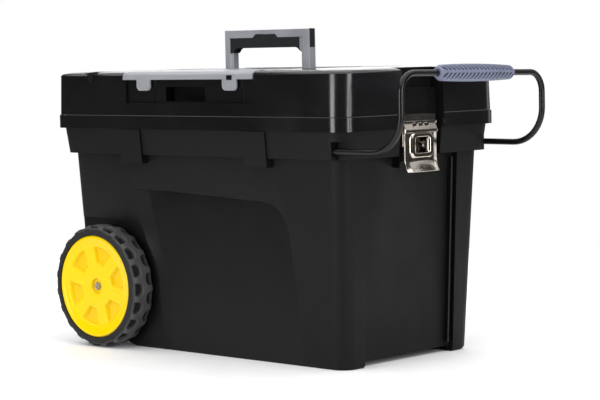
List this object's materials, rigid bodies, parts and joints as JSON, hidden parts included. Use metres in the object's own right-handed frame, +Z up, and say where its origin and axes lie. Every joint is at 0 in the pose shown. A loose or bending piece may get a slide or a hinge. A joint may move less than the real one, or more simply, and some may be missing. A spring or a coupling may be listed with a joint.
{
  "type": "wheeled tool box",
  "caption": "Wheeled carpenter's tool box: deep tub, hinged lid with clear-covered organizers, fold-down carry handle, slide-out pull bail and steel draw latch.",
  "frame": {"origin": "on the ground plane, under the middle of the whole outline with the pull handle at its stored rest place", "axes": "+X along the box from the hinge end to the latch and pull-handle end, +Z up, -Y the near long side"},
  "size_m": [0.7292, 0.375, 0.4845],
  "materials": {
    "tub_plastic": "fine moulded texture, satin black",
    "lid_plastic": "satin-gloss moulded black",
    "clear_cover": "cloudy clear polypropylene",
    "grey_plastic": "satin mid grey",
    "carry_grip": "soft-touch dark grey",
    "wire": "black powder coat",
    "pull_grip": "blue-grey soft rubber",
    "wheel_yellow": "glossy yellow",
    "tyre": "matt dark grey rubber",
    "nickel": "warm bright nickel plate",
    "steel": "zinc plated steel"
  },
  "bodies": {
    "tub": {"tub_shell": "tub_plastic", "axle": "steel", "axle_cap_near": "nickel", "axle_cap_far": "nickel", "hinge_pin": "steel", "latch_base": "nickel", "latch_pivot_pin": "steel", "latch_rivet_1": "steel", "latch_rivet_2": "steel", "padlock_staple": "nickel"},
    "lid": {"lid_shell": "lid_plastic", "strike_plate": "nickel", "strike_rivet_1": "steel", "strike_rivet_2": "steel", "carry_pin_rear": "steel", "carry_pin_front": "steel", "bin_divider_near_1": "lid_plastic", "bin_divider_near_2": "lid_plastic", "bin_divider_far_1": "lid_plastic", "bin_divider_far_2": "lid_plastic"},
    "cover_near": {"organizer_cover_near": "clear_cover"},
    "cover_far": {"organizer_cover_far": "clear_cover"},
    "carry_handle": {"carry_handle_frame": "grey_plastic", "carry_handle_grip": "carry_grip"},
    "pull_handle": {"pull_wire": "wire", "pull_grip": "pull_grip", "arm_stop_near": "steel", "arm_stop_far": "steel"},
    "wheel_near": {"wheel_hub_near": "wheel_yellow", "tyre_near": "tyre"},
    "wheel_far": {"wheel_hub_far": "wheel_yellow", "tyre_far": "tyre"},
    "latch_lever": {"latch_lever": "nickel", "claw_pin_near": "steel", "claw_pin_far": "steel"},
    "latch_claw": {"latch_claw": "nickel"}
  },
  "joints": [
    {"name": "lid_hinge", "type": "hinge", "parent": "tub", "child": "lid", "pos_m": [-0.3585, 0, 0.338], "axis": [0, -1, 0], "range_deg": [0, 105]},
    {"name": "cover_near_hinge", "type": "hinge", "parent": "lid", "child": "cover_near", "pos_m": [-0.05, -0.079, 0.4242], "axis": [-1, 0, 0], "range_deg": [0, 110]},
    {"name": "cover_far_hinge", "type": "hinge", "parent": "lid", "child": "cover_far", "pos_m": [-0.05, 0.079, 0.4242], "axis": [1, 0, 0], "range_deg": [0, 110]},
    {"name": "carry_handle_fold", "type": "hinge", "parent": "lid", "child": "carry_handle", "pos_m": [-0.043, 0, 0.4165], "axis": [-1, 0, 0], "range_deg": [0, 90]},
    {"name": "pull_handle_slide", "type": "slide", "parent": "tub", "child": "pull_handle", "axis": [1, 0, 0], "range_m": [-0.06, 0.2]},
    {"name": "wheel_near_spin", "type": "hinge", "parent": "tub", "child": "wheel_near", "pos_m": [-0.25, -0.1665, 0.0945], "axis": [0, 1, 0], "continuous": true},
    {"name": "wheel_far_spin", "type": "hinge", "parent": "tub", "child": "wheel_far", "pos_m": [-0.25, 0.1665, 0.0945], "axis": [0, 1, 0], "continuous": true},
    {"name": "latch_lever_pivot", "type": "hinge", "parent": "tub", "child": "latch_lever", "pos_m": [0.2496, 0, 0.327], "axis": [0, -1, 0], "range_deg": [0, 78]},
    {"name": "latch_claw_pivot", "type": "hinge", "parent": "latch_lever", "child": "latch_claw", "pos_m": [0.2504, 0, 0.315], "axis": [0, -1, 0], "range_deg": [-90, 0]}
  ],
  "couplings": [
    {"joint": "latch_claw_pivot", "follows": "latch_lever_pivot", "ratio": -1.15}
  ]
}
